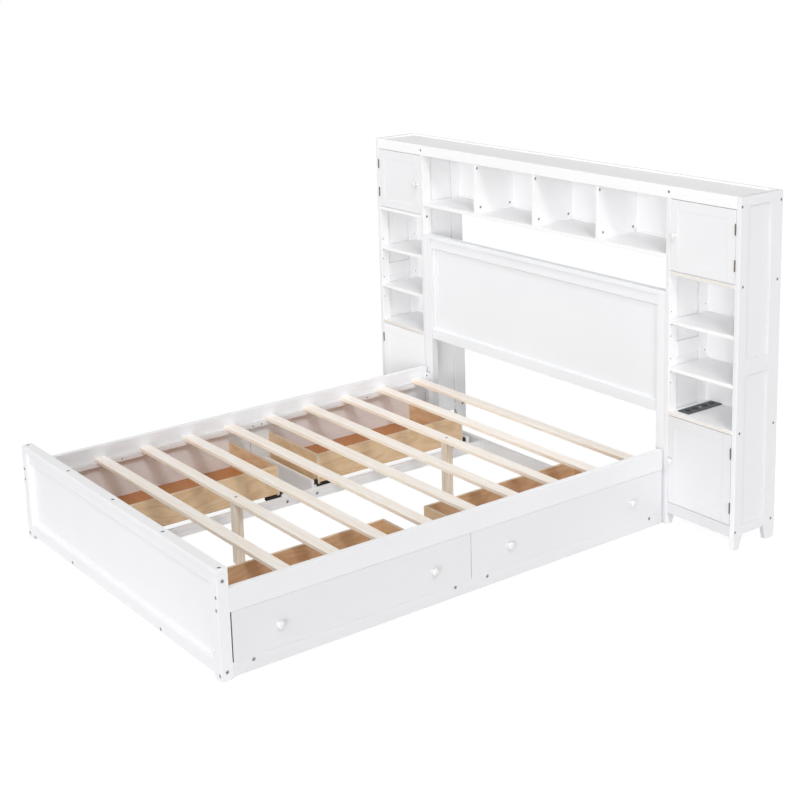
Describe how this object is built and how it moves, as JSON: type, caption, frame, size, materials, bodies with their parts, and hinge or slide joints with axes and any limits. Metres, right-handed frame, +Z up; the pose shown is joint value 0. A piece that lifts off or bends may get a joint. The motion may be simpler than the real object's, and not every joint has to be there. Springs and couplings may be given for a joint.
{
  "type": "storage bed with a bookcase headboard",
  "caption": "Queen bed base with under-bed drawers in its side rails, and a headboard between cupboard towers joined by open compartments overhead.",
  "frame": {"origin": "middle of the whole outline, at floor level", "axes": "+X to the right of someone who stands at the foot and looks at the headboard, +Y from the footboard to the headboard, +Z up"},
  "size_m": [2.336, 2.328, 1.411],
  "materials": {
    "white_board": "white satin paint on wood and board",
    "pale_pine": "planed, unpainted",
    "tan_plywood": "clear lacquer",
    "black_nylon": "moulded",
    "dark_steel": "dark zinc plating",
    "hinge_steel": "plated",
    "grey_plastic": "moulded"
  },
  "bodies": {
    "bed_frame": {"footboard_posts": "white_board", "footboard_rails": "white_board", "footboard_panel": "white_board", "side_rails": "white_board", "rail_battens": "white_board", "slats": "pale_pine", "centre_legs": "pale_pine", "base_frame_boards": "white_board", "drawer_guides": "white_board", "headboard_posts": "white_board", "headboard_rails": "white_board", "headboard_panel": "white_board", "tower_stiles": "white_board", "tower_side_rails": "white_board", "tower_side_panels": "white_board", "back_panels": "white_board", "tower_fixed_shelves": "white_board", "tower_adjustable_shelves": "white_board", "tower_kick_rails": "white_board", "top_frame": "white_board", "top_panel": "white_board", "bridge_shelf": "white_board", "bridge_dividers": "white_board", "cam_locks": "dark_steel", "power_strip": "grey_plastic", "shelf_pins": "dark_steel", "fixed_hinge_leaves": "hinge_steel", "bolts": "dark_steel"},
    "drawer_left_foot": {"drawer_front_left_foot": "white_board", "drawer_box_left_foot": "tan_plywood", "drawer_knobs_left_foot": "white_board", "roller_brackets_left_foot": "black_nylon"},
    "rollers_left_foot": {"rollers_left_foot": "black_nylon"},
    "drawer_left_head": {"drawer_front_left_head": "white_board", "drawer_box_left_head": "tan_plywood", "drawer_knobs_left_head": "white_board", "roller_brackets_left_head": "black_nylon"},
    "rollers_left_head": {"rollers_left_head": "black_nylon"},
    "door_upper_left": {"door_upper_left": "white_board", "door_knob_upper_left": "white_board", "door_leaves_upper_left": "hinge_steel"},
    "door_lower_left": {"door_lower_left": "white_board", "door_knob_lower_left": "white_board", "door_leaves_lower_left": "hinge_steel"},
    "drawer_right_foot": {"drawer_front_right_foot": "white_board", "drawer_box_right_foot": "tan_plywood", "drawer_knobs_right_foot": "white_board", "roller_brackets_right_foot": "black_nylon"},
    "rollers_right_foot": {"rollers_right_foot": "black_nylon"},
    "drawer_right_head": {"drawer_front_right_head": "white_board", "drawer_box_right_head": "tan_plywood", "drawer_knobs_right_head": "white_board", "roller_brackets_right_head": "black_nylon"},
    "rollers_right_head": {"rollers_right_head": "black_nylon"},
    "door_upper_right": {"door_upper_right": "white_board", "door_knob_upper_right": "white_board", "door_leaves_upper_right": "hinge_steel"},
    "door_lower_right": {"door_lower_right": "white_board", "door_knob_lower_right": "white_board", "door_leaves_lower_right": "hinge_steel"}
  },
  "joints": [
    {"name": "drawer_slide_left_foot", "type": "slide", "parent": "bed_frame", "child": "drawer_left_foot", "axis": [-1, 0, 0], "range_m": [0, 0.29]},
    {"name": "roller_turn_left_foot", "type": "hinge", "parent": "drawer_left_foot", "child": "rollers_left_foot", "pos_m": [-0.391, 0, 0.0688], "axis": [0, -1, 0], "range_deg": [0, 1665]},
    {"name": "drawer_slide_left_head", "type": "slide", "parent": "bed_frame", "child": "drawer_left_head", "axis": [-1, 0, 0], "range_m": [0, 0.29]},
    {"name": "roller_turn_left_head", "type": "hinge", "parent": "drawer_left_head", "child": "rollers_left_head", "pos_m": [-0.391, 0, 0.0688], "axis": [0, -1, 0], "range_deg": [0, 1665]},
    {"name": "door_hinge_upper_left", "type": "hinge", "parent": "bed_frame", "child": "door_upper_left", "pos_m": [-1.1445, 0.9223, 1.2], "axis": [0, 0, -1], "range_deg": [0, 105]},
    {"name": "door_hinge_lower_left", "type": "hinge", "parent": "bed_frame", "child": "door_lower_left", "pos_m": [-1.1445, 0.9223, 0.2], "axis": [0, 0, -1], "range_deg": [0, 105]},
    {"name": "drawer_slide_right_foot", "type": "slide", "parent": "bed_frame", "child": "drawer_right_foot", "axis": [1, 0, 0], "range_m": [0, 0.29]},
    {"name": "roller_turn_right_foot", "type": "hinge", "parent": "drawer_right_foot", "child": "rollers_right_foot", "pos_m": [0.391, 0, 0.0688], "axis": [0, 1, 0], "range_deg": [0, 1665]},
    {"name": "drawer_slide_right_head", "type": "slide", "parent": "bed_frame", "child": "drawer_right_head", "axis": [1, 0, 0], "range_m": [0, 0.29]},
    {"name": "roller_turn_right_head", "type": "hinge", "parent": "drawer_right_head", "child": "rollers_right_head", "pos_m": [0.391, 0, 0.0688], "axis": [0, 1, 0], "range_deg": [0, 1665]},
    {"name": "door_hinge_upper_right", "type": "hinge", "parent": "bed_frame", "child": "door_upper_right", "pos_m": [1.1445, 0.9223, 1.2], "axis": [0, 0, 1], "range_deg": [0, 105]},
    {"name": "door_hinge_lower_right", "type": "hinge", "parent": "bed_frame", "child": "door_lower_right", "pos_m": [1.1445, 0.9223, 0.2], "axis": [0, 0, 1], "range_deg": [0, 105]}
  ],
  "couplings": [
    {"joint": "roller_turn_left_foot", "follows": "drawer_slide_left_foot", "rad_per_m": 100},
    {"joint": "roller_turn_left_head", "follows": "drawer_slide_left_head", "rad_per_m": 100},
    {"joint": "roller_turn_right_foot", "follows": "drawer_slide_right_foot", "rad_per_m": 100},
    {"joint": "roller_turn_right_head", "follows": "drawer_slide_right_head", "rad_per_m": 100}
  ]
}
